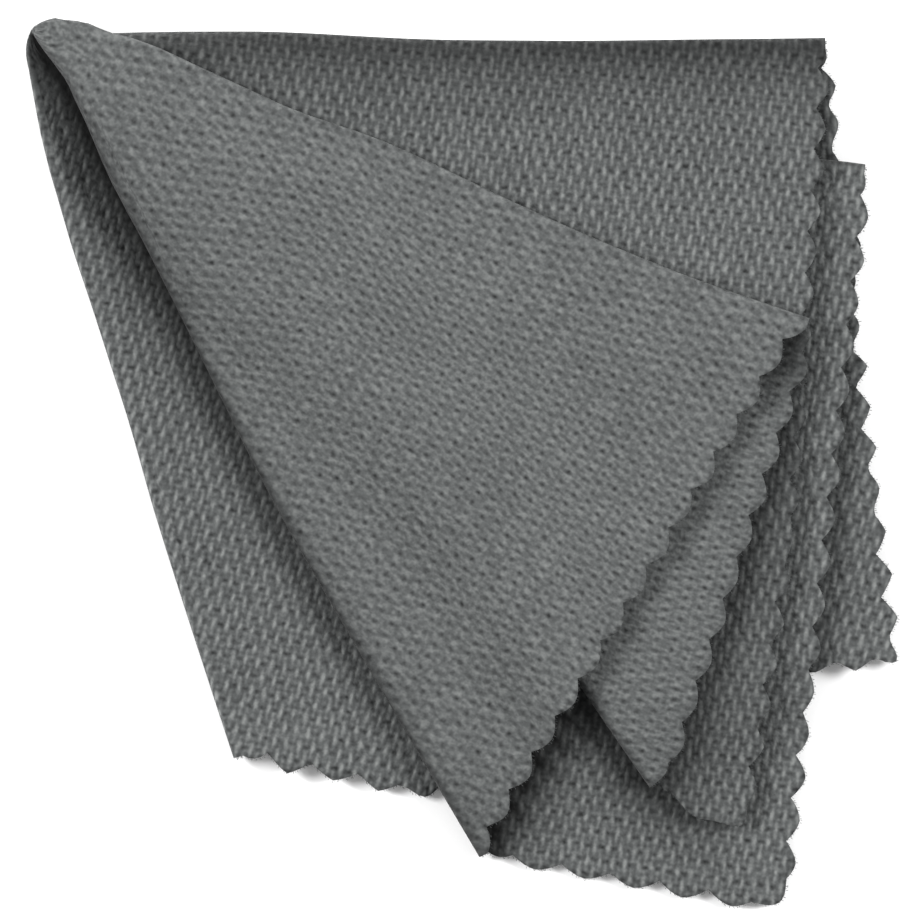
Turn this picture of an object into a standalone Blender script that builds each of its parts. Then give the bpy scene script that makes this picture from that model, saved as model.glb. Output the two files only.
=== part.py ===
"""A pinked microfibre cleaning cloth, folded to a point and lying flat.

One knitted sheet is pleated about a single tip. Going once round the tip, the sheet
crosses six folds and lies in six layers, one over the other. Every layer is a wedge
with its point at the tip and its zigzag cut edge at the far end.

Plan positions are polar: an angle in degrees, turned clockwise from +X, and a reach
in millimetres from the tip. Lengths are in millimetres and turn to metres at the end.
"""

import math
from collections import namedtuple

import bmesh
import bpy
import numpy as np
from mathutils.geometry import tessellate_polygon

MM = 0.001

# Sheet and stack
SHEET = 1.0           # thickness of the sheet
PITCH = 1.5           # rise from one layer to the next, so 0.5 is left between them
FOLD_DEPTH = 1.6      # most that a fold's round back stands out sideways
HOLD = 0.6            # a layer stays level this far past the layer under it
DRAPE = 15.0          # and comes down over this width after that
TIP_SQUASH = 0.70     # layers are pressed to this share of their pitch at the tip
SQUASH_REACH = 14.0   # and are at full pitch from here on

# Pinked edge
TOOTH_PITCH = 4.76
TOOTH_DEPTH = 1.4
TOOTH_BAND = 2.6      # width of the last row of faces, which carries the teeth

# Rounded tip
TIP_START = 3.0       # reach at which the layers run into the closed tip
TIP_BACK = 2.0        # how far the closed tip goes back from there
TIP_AXIS = 45.0       # direction that the tip points away from
TIP_RINGS = (0.85, 0.60, 0.30)

# Resolution
ROW_SHARES = (0.0, 0.02, 0.045, 0.08, 0.14, 0.25, 0.38, 0.51, 0.63, 0.745, 0.85, 0.94)
FOLD_STEPS = 5

# Where the round back of each fold lies, by reach from the tip. "side" is +1 where it
# faces clockwise and -1 where it faces the other way; "tip" is the reach at the cut edge.
REACHES = (3.0, 5.0, 7.0, 10.0, 15.0, 25.0, 40.0, 55.0, 75.0, 90.0, 110.0)
Fold = namedtuple("Fold", "name side tip angles")
FOLDS = {
    f.name: f
    for f in (
        Fold("front_left", 1, 103.9, (66, 61, 62, 62.7, 64.2, 63.7, 63.6, 63.6, 62.8, 62.3, 61.8)),
        Fold("front_top", -1, 91.3, (-48, -23, -8, -0.8, 6.3, 13.8, 16.4, 18.8, 20.0, 19.9, 19.9)),
        Fold("strip_left", 1, 108.6, (50, 46, 45, 46, 46, 46, 46.5, 47, 47.8, 49.0, 51.2)),
        Fold("back_top", -1, 87.8, (-52, -26, -10, -6, -4, -2.3, -0.3, 0.1, 0.0, -0.1, -0.1)),
        Fold("back_left", 1, 83.3, (128, 107, 98, 91, 85.2, 79.8, 76.6, 75.7, 75.2, 75, 75)),
        Fold("inner_top", -1, 93.3, (10, 14, 14, 13, 12, 11, 10, 9.5, 9, 8.5, 8.5)),
    )
}

# The layers in their order round the sheet. "level" counts the layers beneath, "face" is
# +1 where the sheet's outer side is up, and "corners" are the turns of the cut edge
# between the two folds, as (angle, reach).
Layer = namedtuple("Layer", "name level face start end corners")
LAYERS = (
    Layer("front", 5, 1, "front_left", "front_top", ()),
    Layer("strip", 4, -1, "front_top", "strip_left", ()),
    Layer("upper", 3, 1, "strip_left", "back_top", ((48.3, 118.4), (33.8, 100.8))),
    Layer("floor", 0, -1, "back_top", "back_left", ((6.0, 89.4), (37.0, 111.6))),
    Layer("wide", 1, 1, "back_left", "inner_top", ((63.1, 94.8), (35.7, 118.0), (16.5, 94.6))),
    Layer("under", 2, -1, "inner_top", "front_left", ((49.5, 127.7),)),
)

# Soft places where a layer stands off the one beneath it: the level that is lifted, the
# place as (angle, reach), how wide it is and how high.
Loft = namedtuple("Loft", "level angle reach spread rise")
LOFTS = (
    Loft(5, 55.0, 84.0, 16.0, 0.9),
    Loft(5, 34.0, 55.0, 22.0, 0.6),
    Loft(5, 22.0, 88.0, 12.0, 0.9),
    Loft(3, 8.0, 62.0, 16.0, 0.7),
    Loft(2, 47.0, 118.0, 12.0, 0.5),
    Loft(1, 70.0, 60.0, 14.0, 0.6),
    Loft(1, 24.0, 108.0, 12.0, 0.6),
)

# Rims and valleys along a fold: the level that is lifted, the fold, how far inward of its
# round back, how wide, how high, and the reaches where it has grown and starts to fade.
Crest = namedtuple("Crest", "level fold inward width rise near far")
CRESTS = (
    Crest(1, "back_left", 2.2, 2.6, 1.4, 3.0, 55.0),
    Crest(1, "front_left", -3.0, 3.0, -0.3, 3.0, 75.0),
    Crest(5, "front_left", 3.0, 5.0, 1.2, 3.0, 60.0),
    Crest(3, "back_top", -0.5, 4.5, -0.8, 18.0, 120.0),
    Crest(4, "front_top", 0.0, 10.0, -0.3, 12.0, 120.0),
    Crest(5, "front_top", 0.0, 10.0, -0.3, 12.0, 120.0),
)

COLOUR = (0.107, 0.110, 0.110, 1.0)
ROUGHNESS = 0.92


def plan(reach, angle):
    """Plan point of a polar place, with angles running clockwise from +X."""
    turn = np.radians(angle)
    return np.stack([reach * np.cos(turn), -reach * np.sin(turn)], axis=-1)


def back_angle(fold, reach):
    """Angle of a fold's round back at a reach."""
    return np.interp(reach, REACHES, fold.angles)


def layer_outline(layer):
    """Plan polygon of a layer: up one fold, along the cut edge and down the other."""
    points = []
    for name, step in ((layer.start, 1), (layer.end, -1)):
        fold = FOLDS[name]
        reaches = np.array([r for r in REACHES if r < fold.tip] + [fold.tip])[::step]
        points.append(plan(reaches, back_angle(fold, reaches)))
    corners = [plan(reach, angle)[None] for angle, reach in layer.corners]
    return np.concatenate([points[0], *corners, points[1]])


def distance_outside(polygon, spots):
    """Distance of each plan point from a polygon, and zero inside it."""
    nearest = np.full(len(spots), np.inf)
    inside = np.zeros(len(spots), dtype=bool)
    for a, b in zip(polygon, np.roll(polygon, -1, axis=0)):
        along = b - a
        share = np.clip(((spots - a) @ along) / (along @ along), 0.0, 1.0)
        gap = np.linalg.norm(spots - (a + share[:, None] * along), axis=1)
        nearest = np.minimum(nearest, gap)
        if a[1] != b[1]:
            spans = (a[1] > spots[:, 1]) != (b[1] > spots[:, 1])
            crossing = a[0] + (spots[:, 1] - a[1]) * along[0] / along[1]
            inside ^= spans & (spots[:, 0] < crossing)
    return np.where(inside, 0.0, nearest)


def ease(value):
    """Smooth step from 0 to 1."""
    value = np.clip(value, 0.0, 1.0)
    return value * value * (3.0 - 2.0 * value)


def squash(reach):
    """Share of the full pitch and thickness, which is least at the tip."""
    climb = ease((reach - TIP_START) / (SQUASH_REACH - TIP_START))
    return TIP_SQUASH + (1.0 - TIP_SQUASH) * climb


OUTLINES = {layer.level: layer_outline(layer) for layer in LAYERS}


def crest_rise(crest, reach, angle):
    """Rise or dip that runs along a fold, narrower towards the tip."""
    fold = FOLDS[crest.fold]
    inward = fold.side * reach * np.radians(back_angle(fold, reach) - angle)
    window = ease((reach - crest.near) / 8.0) * (1.0 - ease((reach - crest.far) / 30.0))
    size = np.clip(reach / 26.0, 0.3, 1.0)
    away = (inward - crest.inward * size) / (crest.width * size)
    return crest.rise * window * np.exp(-(away**2))


def height(level, reach, angle):
    """Height of a layer's middle: it lies on what is under it and sinks past its edge."""
    spots = plan(reach, angle)
    rise = np.full(len(spots), SHEET / 2)
    for lower in range(level):
        cover = 1.0 - ease((distance_outside(OUTLINES[lower], spots) - HOLD) / DRAPE)
        lift = np.full(len(spots), PITCH)
        for loft in LOFTS:
            if loft.level == lower + 1:
                away = np.linalg.norm(spots - plan(loft.reach, loft.angle), axis=1)
                lift += loft.rise * np.exp(-((away / loft.spread) ** 2))
        for crest in CRESTS:
            if crest.level == lower + 1:
                lift += crest_rise(crest, reach, angle)
        rise += lift * cover
    return rise * squash(reach)


def fold_section(before, after, reach):
    """A fold at some reaches: its angle, the heights it joins and its depth sideways."""
    fold = FOLDS[before.end]
    back = back_angle(fold, reach)
    start = height(before.level, reach, back)
    end = height(after.level, reach, back)
    depth = np.minimum(np.abs(start - end) / 2, FOLD_DEPTH * squash(reach))
    spread = depth + SHEET / 2 * squash(reach)
    return back - fold.side * np.degrees(spread / reach), start, end, depth


def fold_points(before, after, reach, turn):
    """Both sides of the sheet on the round back of a fold, at one turn from 0 to pi."""
    side = FOLDS[before.end].side
    angle, start, end, depth = fold_section(before, after, reach)
    middle, half = (start + end) / 2, (start - end) / 2
    outward = before.face * np.sign(half)
    heading = np.radians(angle)
    across = np.stack([-np.sin(heading), -np.cos(heading)], axis=-1)
    pair = []
    for face in (1, -1):
        grow = face * outward * SHEET / 2 * squash(reach)
        sideways = side * (depth + grow) * math.sin(turn)
        up = middle + (np.abs(half) + grow) * np.sign(half) * math.cos(turn)
        flat = plan(reach, angle) + across * sideways[:, None]
        pair.append(np.column_stack([flat, up]))
    return pair


def run_points(layer, reach, angle):
    """Both sides of the sheet on the level run of a layer."""
    up = height(layer.level, reach, angle)
    offset = layer.face * SHEET / 2 * squash(reach)
    flat = plan(reach, angle)
    return [np.column_stack([flat, up + face * offset]) for face in (1, -1)]


def edge_line(index):
    """Plan polyline of a layer's cut edge, from the end of one fold to the next."""
    layer = LAYERS[index]
    before, after = LAYERS[index - 1], LAYERS[(index + 1) % len(LAYERS)]
    first = np.array([FOLDS[layer.start].tip])
    last = np.array([FOLDS[layer.end].tip])
    ends = (
        plan(first, fold_section(before, layer, first)[0])[0],
        plan(last, fold_section(layer, after, last)[0])[0],
    )
    return [ends[0], *(plan(reach, angle) for angle, reach in layer.corners), ends[1]]


def teeth_along(line):
    """Roots and tips of the teeth along a cut edge, as (plan point, is_tip)."""
    marks = []
    for a, b in zip(line, line[1:]):
        length = np.linalg.norm(b - a)
        count = max(1, round(length / TOOTH_PITCH))
        outward = np.array([-(b - a)[1], (b - a)[0]]) / length
        outward *= math.copysign(TOOTH_DEPTH / 2, outward @ a)
        for step in range(2 * count):
            is_tip = step % 2 == 1
            shift = outward if is_tip else (-outward if step else outward * 0.0)
            marks.append((a + (b - a) * step / (2 * count) + shift, is_tip))
    marks.append((line[-1], False))
    return marks


def run_columns(index):
    """The columns of a layer: for each root its points row by row, and the tip after it."""
    layer = LAYERS[index]
    before, after = LAYERS[index - 1], LAYERS[(index + 1) % len(LAYERS)]
    columns = []
    for spot, is_tip in teeth_along(edge_line(index)):
        reach = np.array([np.linalg.norm(spot)])
        angle = np.degrees(np.arctan2(-spot[1], spot[0]))
        low = fold_section(before, layer, reach)[0][0]
        high = fold_section(layer, after, reach)[0][0]
        share = (angle - low) / (high - low)
        if is_tip:
            columns[-1]["tooth"] = run_points(layer, reach, np.array([angle]))
            continue
        rows = TIP_START + (reach[0] - TOOTH_BAND - TIP_START) * np.array(ROW_SHARES) / ROW_SHARES[-1]
        rows = np.append(rows, reach[0])
        low = fold_section(before, layer, rows)[0]
        high = fold_section(layer, after, rows)[0]
        angles = low + (high - low) * np.clip(share, 0.0, 1.0)
        columns.append({"points": run_points(layer, rows, angles), "tooth": None})
    return columns


def fold_columns(index):
    """The columns that carry the sheet round the fold after a layer."""
    layer, after = LAYERS[index], LAYERS[(index + 1) % len(LAYERS)]
    tip = FOLDS[layer.end].tip
    rows = TIP_START + (tip - TOOTH_BAND - TIP_START) * np.array(ROW_SHARES) / ROW_SHARES[-1]
    rows = np.append(rows, tip)
    turns = [math.pi * step / FOLD_STEPS for step in range(1, FOLD_STEPS)]
    return [{"points": fold_points(layer, after, rows, turn), "tooth": None} for turn in turns]


def folded_sheet():
    """The closed skin of the folded sheet: outer side, inner side, cut edge and tip."""
    columns = []
    for index in range(len(LAYERS)):
        columns += run_columns(index) + fold_columns(index)
    count, last = len(columns), len(ROW_SHARES)

    mesh = bmesh.new()
    grid = [
        [[mesh.verts.new(p) for p in column["points"][side]] for column in columns]
        for side in (0, 1)
    ]
    teeth = [
        [column["tooth"] and mesh.verts.new(column["tooth"][side][0]) for column in columns]
        for side in (0, 1)
    ]

    for i in range(count):
        j = (i + 1) % count
        for side in (0, 1):
            here, there = grid[side][i], grid[side][j]
            for row in range(last - 1):
                corners = (here[row], there[row], there[row + 1], here[row + 1])
                mesh.faces.new(corners[:: 1 - 2 * side])
            band = [here[last - 1], there[last - 1], there[last], here[last]]
            if teeth[side][i]:
                band.insert(3, teeth[side][i])
            mesh.faces.new(band[:: 1 - 2 * side])
        rims = [[grid[side][i][last], grid[side][j][last]] for side in (0, 1)]
        if teeth[0][i]:
            for side in (0, 1):
                rims[side].insert(1, teeth[side][i])
        for k in range(len(rims[0]) - 1):
            mesh.faces.new((rims[0][k], rims[0][k + 1], rims[1][k + 1], rims[1][k]))

    close_tip(mesh, [column[0] for column in grid[0]])
    close_inside(mesh, columns, [column[0] for column in grid[1]])
    return mesh


def close_tip(mesh, ring):
    """A rounded end on the outer side: smaller and smaller rings, then a point."""
    points = np.array([tuple(v.co) for v in ring])
    centre = (points.min(axis=0) + points.max(axis=0)) / 2
    backward = -np.append(plan(TIP_BACK, TIP_AXIS), 0.0)
    for share in TIP_RINGS:
        gone = 1.0 - share
        scale = np.array([share, share, math.sqrt(1.0 - gone * gone)])
        shift = backward * gone * (1.7 - 0.7 * gone)
        inner = [mesh.verts.new(centre + (p - centre) * scale + shift) for p in points]
        for i, vert in enumerate(ring):
            j = (i + 1) % len(ring)
            mesh.faces.new((vert, inner[i], inner[j], ring[j]))
        ring = inner
    point = mesh.verts.new(centre + backward)
    for i, vert in enumerate(ring):
        mesh.faces.new((vert, point, ring[(i + 1) % len(ring)]))


def close_inside(mesh, columns, ring):
    """The inner side ends at the tip in one wall, drawn on the unrolled section."""
    unrolled = []
    for column in columns:
        x, y, z = column["points"][1][0]
        unrolled.append((TIP_START * math.atan2(-y, x), z, 0.0))
    for a, b, c in tessellate_polygon([unrolled]):
        mesh.faces.new((ring[a], ring[b], ring[c]))


def fibre_finish():
    """Grey knitted microfibre: matt, with no gloss of its own."""
    material = bpy.data.materials.new("knitted_microfibre_grey")
    material.use_nodes = True
    shader = material.node_tree.nodes["Principled BSDF"]
    shader.inputs["Base Color"].default_value = COLOUR
    shader.inputs["Roughness"].default_value = ROUGHNESS
    shader.inputs["Metallic"].default_value = 0.0
    return material


def main():
    for item in list(bpy.data.objects):
        bpy.data.objects.remove(item)
    mesh = folded_sheet()
    bmesh.ops.triangulate(mesh, faces=mesh.faces[:])
    bmesh.ops.recalc_face_normals(mesh, faces=mesh.faces[:])
    points = np.array([tuple(v.co) for v in mesh.verts])
    middle = (points.min(axis=0) + points.max(axis=0)) / 2
    for vert in mesh.verts:
        vert.co.x = (vert.co.x - middle[0]) * MM
        vert.co.y = (vert.co.y - middle[1]) * MM
        vert.co.z = vert.co.z * MM
    data = bpy.data.meshes.new("cloth")
    mesh.to_mesh(data)
    mesh.free()
    data.materials.append(fibre_finish())
    bpy.context.scene.collection.objects.link(bpy.data.objects.new("cloth", data))


main()
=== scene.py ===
# %% [markdown]
# # A pinked microfibre cloth, folded to a point
#
# The object is one piece of grey knitted microfibre, cut all round with pinking shears
# and pleated about a single tip, so that six layers lie one over the other. Blender
# could drop a flat sheet and fold it with the cloth simulator, but a fold with six
# pleats in a set order is hard to steer that way. Here each layer is laid by a formula
# instead: where its folds run, what it lies on, and how it sinks past what ends beneath
# it. The result is one thin closed sheet that follows the solid of the folded cloth.

import math
from collections import namedtuple

import bpy
import numpy as np
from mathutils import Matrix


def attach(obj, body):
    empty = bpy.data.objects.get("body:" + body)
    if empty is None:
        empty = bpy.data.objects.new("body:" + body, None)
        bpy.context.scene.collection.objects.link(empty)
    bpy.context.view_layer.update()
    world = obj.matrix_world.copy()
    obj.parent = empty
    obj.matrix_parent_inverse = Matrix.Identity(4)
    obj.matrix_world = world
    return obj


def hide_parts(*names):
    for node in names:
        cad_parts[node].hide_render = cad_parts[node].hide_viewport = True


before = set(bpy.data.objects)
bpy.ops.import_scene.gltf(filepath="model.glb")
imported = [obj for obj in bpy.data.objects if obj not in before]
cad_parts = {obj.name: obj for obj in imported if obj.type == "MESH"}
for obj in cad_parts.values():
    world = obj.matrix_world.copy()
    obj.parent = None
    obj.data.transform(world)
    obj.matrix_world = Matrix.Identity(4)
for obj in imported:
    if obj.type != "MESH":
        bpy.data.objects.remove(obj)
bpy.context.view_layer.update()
MM = 0.001

# %% [markdown]
# ## Where the folds run
#
# Every fold starts at the tip and ends at the cut edge, so polar places suit it: an
# angle, turned clockwise from +X, and a reach in millimetres from the tip. The table
# gives the angle of each fold's round back at a few reaches, and a smooth curve joins
# them. Plain straight steps would leave small kinks in the long folds, which soft
# light shows at once.

# %% Folds
REACHES = (2.0, 3.0, 5.0, 7.0, 10.0, 15.0, 25.0, 40.0, 55.0, 75.0, 90.0, 110.0)
Fold = namedtuple("Fold", "name side tip angles")
FOLDS = {
    fold.name: fold
    for fold in (
        Fold("front_left", 1, 103.9,
             (71, 66, 61, 62, 62.7, 64.2, 63.7, 63.6, 63.6, 62.8, 62.3, 61.8)),
        Fold("front_top", -1, 91.3,
             (-70, -48, -24, -9, -1.8, 6.3, 13.8, 16.4, 18.8, 20.0, 19.9, 19.9)),
        Fold("strip_left", 1, 107.9,
             (50, 50, 46, 45, 46, 46, 46, 46.5, 47.2, 48.4, 50.0, 51.1)),
        Fold("back_top", -1, 87.8,
             (-95, -52, -26, -10, -6.5, -4.6, -2.8, -0.7, -0.25, -0.3, -0.35, -0.35)),
        Fold("back_left", 1, 83.3,
             (155, 128, 107, 99, 93, 87.3, 81.7, 78.0, 76.8, 75.6, 75, 75)),
        Fold("inner_top", -1, 93.3,
             (10, 10, 14, 14, 13, 12, 11, 10, 9.5, 9, 8.5, 8.5)),
    )
}


def plan(reach, angle):
    """Plan point of a polar place, with angles running clockwise from +X."""
    turn = np.radians(angle)
    return np.stack([reach * np.cos(turn), -reach * np.sin(turn)], axis=-1)


def back_angle(fold, reach):
    """Angle of a fold's round back at a reach, on a smooth curve through its table."""
    x, y = np.array(REACHES), np.array(fold.angles, dtype=float)
    slope = np.gradient(y, x)
    i = np.clip(np.searchsorted(x, reach) - 1, 0, len(x) - 2)
    step = x[i + 1] - x[i]
    t = np.clip((reach - x[i]) / step, 0.0, 1.0)
    bend = t * t * (3 - 2 * t)
    lead = (t**3 - 2 * t * t + t) * step * slope[i] + (t**3 - t * t) * step * slope[i + 1]
    return y[i] + (y[i + 1] - y[i]) * bend + lead


print("folds and the reach of their ends, mm:", {fold.name: fold.tip for fold in FOLDS.values()})

# %% [markdown]
# ## The six layers
#
# Going round the tip the sheet passes through its six layers in this order. A layer's
# `level` is how many others are beneath it, and `face` says whether the outer side of
# the knit looks up. Its corners are angles and reaches on the cut edge. Then come the
# way its wales run, how far the knit is pulled across and along, how boldly the stitch
# shows, and how deep and how round its teeth are.

# %% Layers
Layer = namedtuple("Layer", "name level face start end corners wale pull bold depth round")
LAYERS = (
    Layer("front", 5, 1, "front_left", "front_top", (), 33.5, (1.0, 0.955), 0.66, 1.15, 0.9),
    Layer("strip", 4, -1, "front_top", "strip_left", (), 16.0, (1.25, 0.955), 0.66, 1.15, 0.9),
    Layer("upper", 3, 1, "strip_left", "back_top",
          ((50.0, 113.6), (48.3, 118.4), (33.8, 100.8)), 96.5, (1.0, 1.09), 1.0, 1.3, 0.6),
    Layer("floor", 0, -1, "back_top", "back_left",
          ((6.0, 89.4), (37.0, 111.6)), 85.3, (1.0, 1.0), 1.0, 1.3, 0.6),
    Layer("wide", 1, 1, "back_left", "inner_top",
          ((63.1, 94.8), (39.1, 111.5), (36.0, 118.4), (28.3, 106.0), (19.4, 96.5), (16.5, 94.6)),
          103.0, (1.0, 1.05), 1.0, 1.6, 0.35),
    Layer("under", 2, -1, "inner_top", "front_left",
          ((49.5, 127.7),), 98.5, (1.0, 1.05), 1.0, 1.25, 0.8),
)
print("layers from the floor up:", [x.name for x in sorted(LAYERS, key=lambda x: x.level)])

# %% [markdown]
# ## What lifts a layer
#
# A soft cloth never lies in even steps. A loft is a broad swelling, as where air is
# caught between two layers. A crest runs along a fold, at a distance inward from its
# back: a rolled rim, a valley beside it, or the slope where a layer sinks to its fold.
# Both add to the rise from one layer to the next, and they were set by comparing soft
# shadows with the photograph.

# %% Lofts and crests
SHEET = 0.7           # thickness of the knit as shown, thinner than the solid's
SOLID_SHEET = 1.0     # thickness of the solid's sheet
PITCH = 1.5           # rise from one layer to the next, as in the solid
FOLD_DEPTH = 1.6      # most that a fold's round back stands out sideways
HOLD, DRAPE = 0.6, 10.0    # past a lower layer's edge: still held up, then coming down
TIP_START = 2.6       # reach of the innermost row
SQUASH_REACH, TIP_SQUASH = 14.0, 0.70    # nearer than this, heights are pressed together

Loft = namedtuple("Loft", "level angle reach spread rise")
LOFTS = (
    Loft(5, 55.0, 84.0, 16.0, 0.9),
    Loft(5, 34.0, 55.0, 22.0, 0.6),
    Loft(5, 22.0, 88.0, 12.0, 0.9),
    Loft(3, 8.0, 62.0, 16.0, 0.7),
    Loft(2, 47.0, 118.0, 12.0, 0.5),
    Loft(1, 70.0, 60.0, 14.0, 0.6),
    Loft(1, 24.0, 108.0, 12.0, 0.6),
)

Crest = namedtuple("Crest", "level fold inward width rise near far")
CRESTS = (
    Crest(1, "back_left", 2.2, 2.8, 1.4, 1.0, 55.0),       # rolled rim on the left
    Crest(1, "front_left", -1.0, 3.5, -0.7, 1.0, 75.0),    # valley beside the front layer
    Crest(5, "front_left", 3.0, 5.0, 1.4, 2.0, 60.0),      # full roll of the front layer
    Crest(3, "back_top", -0.5, 4.5, -1.3, 16.0, 120.0),    # the top sinks to its fold
    Crest(4, "front_top", 0.0, 10.0, -0.65, 12.0, 120.0),  # the strip sinks to its fold
    Crest(5, "front_top", 0.0, 10.0, -0.7, 12.0, 120.0),   # and so does the front
)
print("lofts:", len(LOFTS), "crests:", len(CRESTS))

# %% [markdown]
# ## The outline of each layer
#
# A layer's plan is a polygon: up one fold, along the cut edge and down the other fold.
# The distance from it says how far past an edge a higher layer has come, which is what
# its height and its shade depend on.

# %% Outlines

def ease(value):
    """Smooth step from 0 to 1."""
    value = np.clip(value, 0.0, 1.0)
    return value * value * (3.0 - 2.0 * value)


def squash(reach):
    """Share of the full pitch and thickness, which is least at the tip."""
    climb = ease((reach - TIP_START) / (SQUASH_REACH - TIP_START))
    return TIP_SQUASH + (1.0 - TIP_SQUASH) * climb


def layer_outline(layer):
    """Plan polygon of a layer: up one fold, along the cut edge and down the other."""
    sides = []
    for name, step in ((layer.start, 1), (layer.end, -1)):
        fold = FOLDS[name]
        reaches = np.array([r for r in REACHES if r < fold.tip] + [fold.tip])[::step]
        sides.append(plan(reaches, back_angle(fold, reaches)))
    corners = [plan(reach, angle)[None] for angle, reach in layer.corners]
    return np.concatenate([sides[0], *corners, sides[1]])


def distance_outside(polygon, spots):
    """Distance of each plan point from a polygon, and zero inside it."""
    nearest = np.full(len(spots), np.inf)
    inside = np.zeros(len(spots), dtype=bool)
    for a, b in zip(polygon, np.roll(polygon, -1, axis=0)):
        along = b - a
        share = np.clip(((spots - a) @ along) / (along @ along), 0.0, 1.0)
        gap = np.linalg.norm(spots - (a + share[:, None] * along), axis=1)
        nearest = np.minimum(nearest, gap)
        if a[1] != b[1]:
            spans = (a[1] > spots[:, 1]) != (b[1] > spots[:, 1])
            crossing = a[0] + (spots[:, 1] - a[1]) * along[0] / along[1]
            inside ^= spans & (spots[:, 0] < crossing)
    return np.where(inside, 0.0, nearest)


OUTLINES = {layer.level: layer_outline(layer) for layer in LAYERS}
print("points of each outline, by level:", {level: len(OUTLINES[level]) for level in OUTLINES})

# %% [markdown]
# ## The height of each layer
#
# The height of a layer is the sum of what is under it at that place. Past the edge of a
# lower layer that layer's share fades out over a centimetre, which is how a soft cloth
# comes down over a step. A few long shallow waves keep the surface from looking ironed.

# %% Heights
CREST_FULL = 26.0                  # reach from which a crest has its whole size
CREST_LEAST = 0.3                  # its share of that size at the tip
CREST_IN, CREST_OUT = 8.0, 30.0    # over these reaches a crest begins and ends
WAVE_RISE, WAVES_PER_LAYER, WAVE_IN = 0.07, 4, 20.0


def crest_rise(crest, spots, reach):
    """Rise or dip that runs along a fold, at a distance inward from its back."""
    fold = FOLDS[crest.fold]
    angle = np.degrees(np.arctan2(-spots[:, 1], spots[:, 0]))
    inward = fold.side * reach * np.radians(back_angle(fold, reach) - angle)
    window = ease((reach - crest.near) / CREST_IN) * (1.0 - ease((reach - crest.far) / CREST_OUT))
    size = np.clip(reach / CREST_FULL, CREST_LEAST, 1.0)
    away = (inward - crest.inward * size) / (crest.width * size)
    return crest.rise * size * window * np.exp(-(away**2))


# Long shallow waves, each layer with its own: direction, wavelength and phase.
waves = np.random.default_rng(5)
WAVES = [
    [(waves.uniform(0, math.tau), waves.uniform(12.0, 30.0), waves.uniform(0, math.tau))
     for _ in range(WAVES_PER_LAYER)]
    for _ in LAYERS
]


def ripple(level, spots):
    """Slight unevenness of a layer, never below zero, so that none dips into the floor."""
    total = np.zeros(len(spots))
    for turn, length, phase in WAVES[level]:
        along = spots @ np.array([math.cos(turn), math.sin(turn)])
        total += np.sin(math.tau * along / length + phase)
    return WAVE_RISE * (total + len(WAVES[level]))


def height(level, spots):
    """Height of a layer's middle at plan points."""
    reach = np.linalg.norm(spots, axis=1)
    rise = SHEET / 2 + ripple(level, spots) * ease(reach / WAVE_IN)
    for lower in range(level):
        cover = 1.0 - ease((distance_outside(OUTLINES[lower], spots) - HOLD) / DRAPE)
        lift = np.full(len(spots), PITCH)
        for loft in LOFTS:
            if loft.level == lower + 1:
                away = np.linalg.norm(spots - plan(loft.reach, loft.angle), axis=1)
                lift += loft.rise * np.exp(-((away / loft.spread) ** 2))
        for crest in CRESTS:
            if crest.level == lower + 1:
                lift += crest_rise(crest, spots, reach)
        rise += lift * cover
    return rise * squash(reach)


def fold_section(before, after, reach):
    """A fold at some reaches: its angle, the heights it joins and its depth sideways."""
    fold = FOLDS[before.end]
    back = back_angle(fold, reach)
    start = height(before.level, plan(reach, back))
    end = height(after.level, plan(reach, back))
    depth = np.minimum(np.abs(start - end) / 2, FOLD_DEPTH * squash(reach))
    spread = depth + SOLID_SHEET / 2 * squash(reach)
    return back - fold.side * np.degrees(spread / reach), start, end, depth


SAMPLE = plan(np.array([60.0]), np.array([42.0]))    # a place that all six layers cover
print("heights there, mm:", [round(float(height(level, SAMPLE)[0]), 2) for level in range(6)])

# %% [markdown]
# ## Painted shade on the cloth
#
# Between real layers the light sinks into a mat of loose fibre, and the gaps look darker
# than a smooth sheet so close to its neighbour would. That darkness is painted shade: the
# sheet carries it as a value on every vertex, from 0 in the open to almost 1 deep in a
# gap, and the material takes that share away from the knit's grey. It is greatest where a
# higher layer ends close by, and fades with the distance from it. On the backs of two
# folds it is a little below 0, which paints light there and makes the grey paler. It
# says nothing about the camera or the lamps, so it holds from every side.
#
# Each row of the table gives the layer's level, the shade right beside the edge, the
# width over which it fades, the angles between which it holds, and the share of it that
# is lost on the way from the tip to 100 mm from it. A shade above 1 stays at its darkest
# for a little way.

# %% Shade
# Rows of painted shade that darken a layer beside the edges of higher layers.
Shade = namedtuple("Shade", "level amount width first last fade")
SHADES = (
    Shade(4, 0.22, 0.9, 0.0, 90.0, 0.0),       # strip beside the front's cut edge
    Shade(4, 0.80, 3.0, 0.0, 23.0, 0.0),       # strip under the front's corner
    Shade(3, 0.80, 5.8, 23.5, 90.0, 0.0),      # lower part of the upper layer
    Shade(2, 0.45, 1.2, 0.0, 44.0, 0.0),       # under layer on the right
    Shade(2, 1.30, 2.4, 53.0, 90.0, 0.0),      # gap left of the strip's fold
    Shade(1, 0.60, 2.3, 0.0, 56.0, 0.0),       # wide layer on the right
    Shade(1, 1.20, 3.3, 60.0, 180.0, 0.92),    # groove along the front's left fold
    Shade(0, 0.65, 2.0, 0.0, 90.0, 0.0),       # floor layer, at the far right
)
# Painted shade where a layer turns down towards a fold, darkest at the fold.
RollShade = namedtuple("RollShade", "level fold amount width")
ROLL_SHADES = (
    RollShade(3, "back_top", 0.86, 6.0),            # where a layer turns down to its own fold
    RollShade(5, "front_left", 0.50, 1.3),
)
# Painted shade on the round backs of the folds; the values below 0 paint light there instead.
BACK_SHADES = {"front_left": 0.68, "strip_left": 0.62, "back_top": 0.1, "inner_top": 0.4,
         "front_top": -0.2, "back_left": -0.35}    # shade on the round backs of the folds
DARKEST = 0.97
WINDOW_EDGE = 5.0                  # degrees over which a row of the table begins and ends
FADE_REACH = 100.0
ROLL_START, ROLL_IN = 4.0, 12.0    # reach where a roll begins, and over which it grows


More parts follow.
